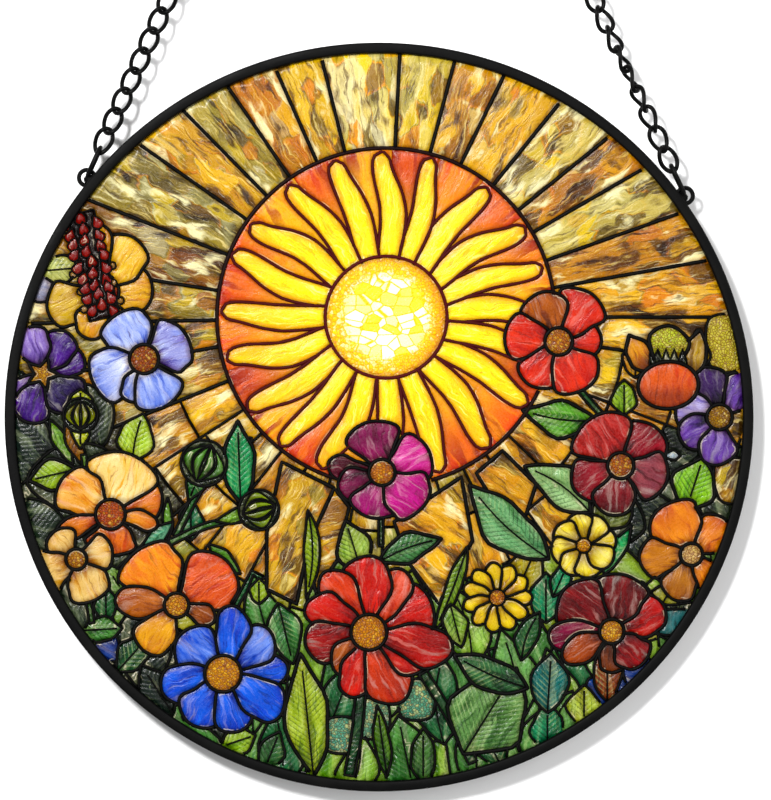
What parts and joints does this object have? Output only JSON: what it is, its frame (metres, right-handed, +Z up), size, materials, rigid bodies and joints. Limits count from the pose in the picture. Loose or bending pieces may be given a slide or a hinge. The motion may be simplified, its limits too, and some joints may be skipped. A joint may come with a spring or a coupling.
{
  "type": "stained glass suncatcher",
  "caption": "Round leaded glass panel with a sun over a flower garden in a black metal rim, hung by curb chains from one ring, to colour the light in a window.",
  "frame": {"origin": "inner top of the hanging ring, where a hook or nail bears", "axes": "+Z up along the hanging line, the picture faces -Y, +X to the right of a person who looks at it"},
  "size_m": [0.2, 0.006, 0.343],
  "materials": {
    "rim_metal": "satin black, slightly uneven",
    "lead": "satin black patina, rounded, maroon-black around the sun",
    "chain_metal": "glossy black",
    "glass_gold": "streaky opalescent glass, glossy",
    "glass_amber": "streaky opalescent glass, glossy",
    "glass_orange": "streaky opalescent glass, glossy",
    "glass_olive": "streaky opalescent glass, glossy",
    "glass_cream": "streaky opalescent glass, glossy",
    "glass_brown": "streaky opalescent glass, glossy",
    "glass_red": "streaky opalescent glass, glossy",
    "glass_crimson": "streaky opalescent glass, glossy",
    "glass_magenta": "streaky opalescent glass, glossy",
    "glass_violet": "streaky opalescent glass, glossy",
    "glass_blue": "streaky opalescent glass, glossy",
    "glass_pale_blue": "streaky opalescent glass, glossy",
    "glass_green": "streaky opalescent glass, glossy",
    "glass_pale_green": "streaky opalescent glass, glossy",
    "glass_dark_green": "streaky opalescent glass, glossy"
  },
  "bodies": {
    "root": {"rim": "rim_metal", "leading": "lead", "sky_gold_east": "glass_gold", "sky_amber_east": "glass_amber", "sky_olive_east": "glass_olive", "sky_orange_northeast": "glass_orange", "sky_cream_northeast": "glass_cream", "sky_gold_northeast": "glass_gold", "sky_amber_north": "glass_amber", "sky_olive_north": "glass_olive", "sky_cream_north": "glass_cream", "sky_gold_north": "glass_gold", "sky_orange_northwest": "glass_orange", "sky_olive_northwest": "glass_olive", "sky_amber_northwest": "glass_amber", "sky_cream_west": "glass_cream", "sky_brown_west": "glass_brown", "sky_olive_west": "glass_olive", "meadow_gold_southwest": "glass_gold", "meadow_amber_southwest": "glass_amber", "meadow_amber_south": "glass_amber", "meadow_orange_southeast": "glass_orange", "sun_corona": "glass_orange", "sun_disc": "glass_cream", "leaf_emerald_west": "glass_green", "leaf_green_far_west": "glass_green", "leaf_light_center": "glass_pale_green", "leaf_dark_center": "glass_dark_green", "leaf_sea_east": "glass_pale_green", "leaf_pale_east": "glass_pale_green", "leaf_green_east": "glass_green", "leaf_bright_far_east": "glass_green", "leaf_frond_south": "glass_green", "leaf_broad_southeast": "glass_dark_green", "leaf_veined_southeast": "glass_dark_green", "flower_violet_east": "glass_violet", "flower_violet_west": "glass_violet", "bud_striped_far_west": "glass_green", "flower_amber": "glass_amber", "flower_pale_blue": "glass_pale_blue", "flower_cream_poppy": "glass_orange", "flower_beige": "glass_gold", "bud_round_west": "glass_green", "bud_round_center": "glass_green", "flower_orange_west": "glass_orange", "flower_blue": "glass_blue", "flower_magenta": "glass_magenta", "flower_red": "glass_red", "flower_coral": "glass_red", "flower_maroon": "glass_crimson", "flower_tulip": "glass_amber", "flower_orange_east": "glass_orange", "flower_crimson": "glass_crimson", "flower_primrose": "glass_cream", "flower_daisy": "glass_gold", "connector_left": "chain_metal", "chain_left": "chain_metal", "connector_right": "chain_metal", "chain_right": "chain_metal", "hanging_ring": "chain_metal"}
  },
  "joints": []
}
